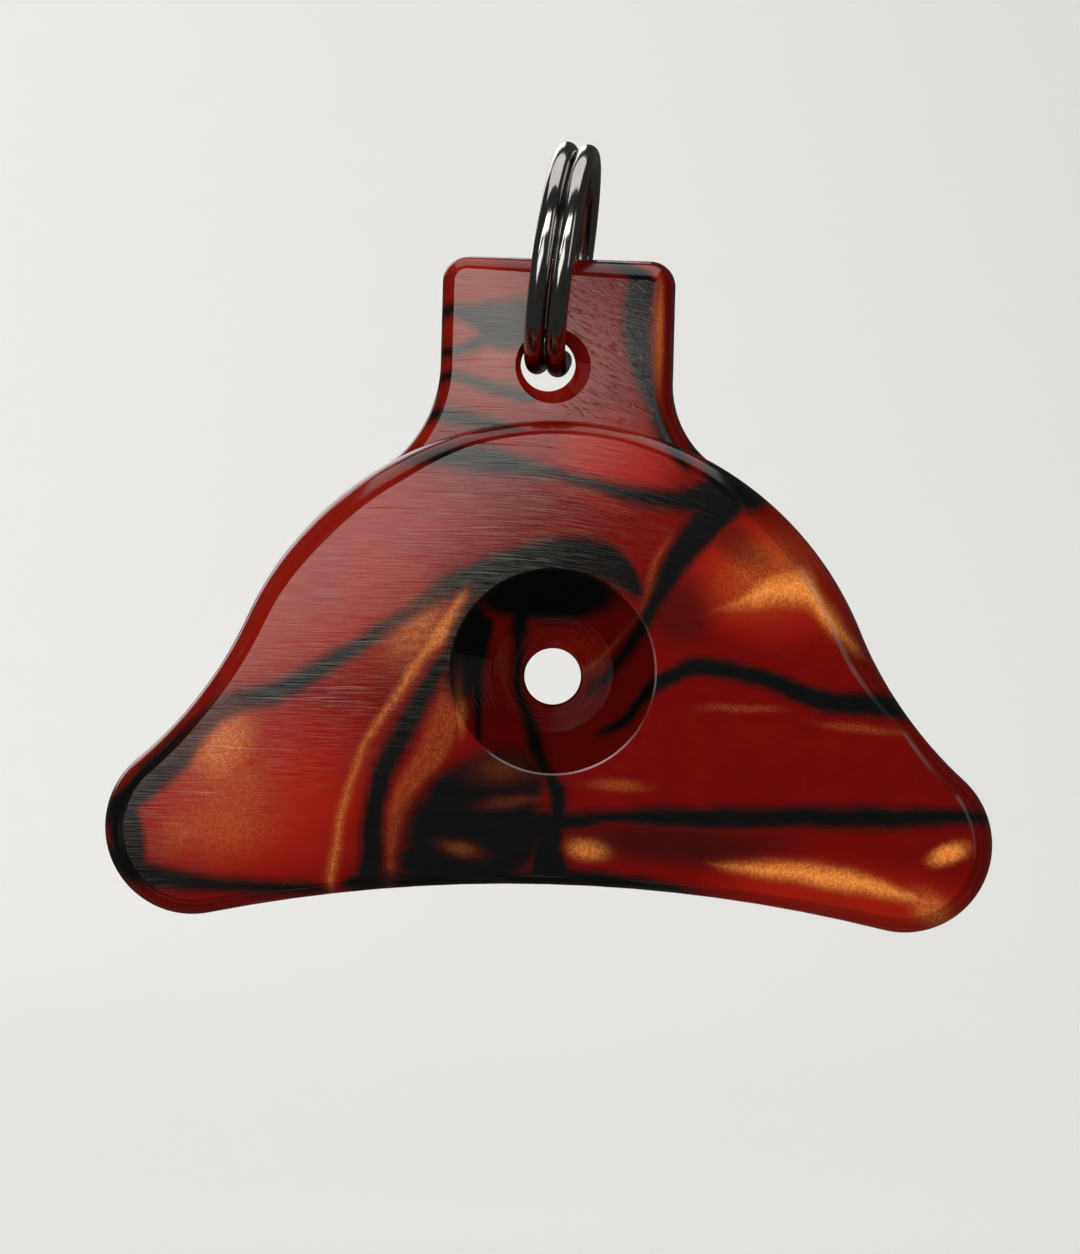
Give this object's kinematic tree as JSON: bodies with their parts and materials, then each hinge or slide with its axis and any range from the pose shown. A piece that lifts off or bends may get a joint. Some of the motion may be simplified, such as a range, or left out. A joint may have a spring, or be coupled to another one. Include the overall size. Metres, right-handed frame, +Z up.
{
  "type": "shepherds whistle",
  "caption": "Half-moon shepherd's mouth whistle machined from swirled red, gold and black acrylic, hanging on a steel split ring.",
  "frame": {"origin": "the inside top of the split ring, where a lanyard or a hook bears", "axes": "+X to the right across the whistle, seen from its front face; +Y from the front face to the back face; +Z up, from the mouth edge towards the ring"},
  "size_m": [0.045, 0.012, 0.0402],
  "materials": {
    "swirled_acrylic": "pearl acrylic swirled in orange-red, deep red, gold and black; finely brushed faces, polished dish, satin rounded edges",
    "dark_steel": "dark nickel-plated spring steel, bright"
  },
  "bodies": {
    "ring": {"split_ring": "dark_steel"},
    "whistle": {"whistle_body": "swirled_acrylic"}
  },
  "joints": [
    {"name": "whistle_swing", "type": "hinge", "parent": "ring", "child": "whistle", "pos_m": [-0.00146, 0, -0.01027], "axis": [0, 1, 0], "range_deg": [-103, 119]}
  ]
}
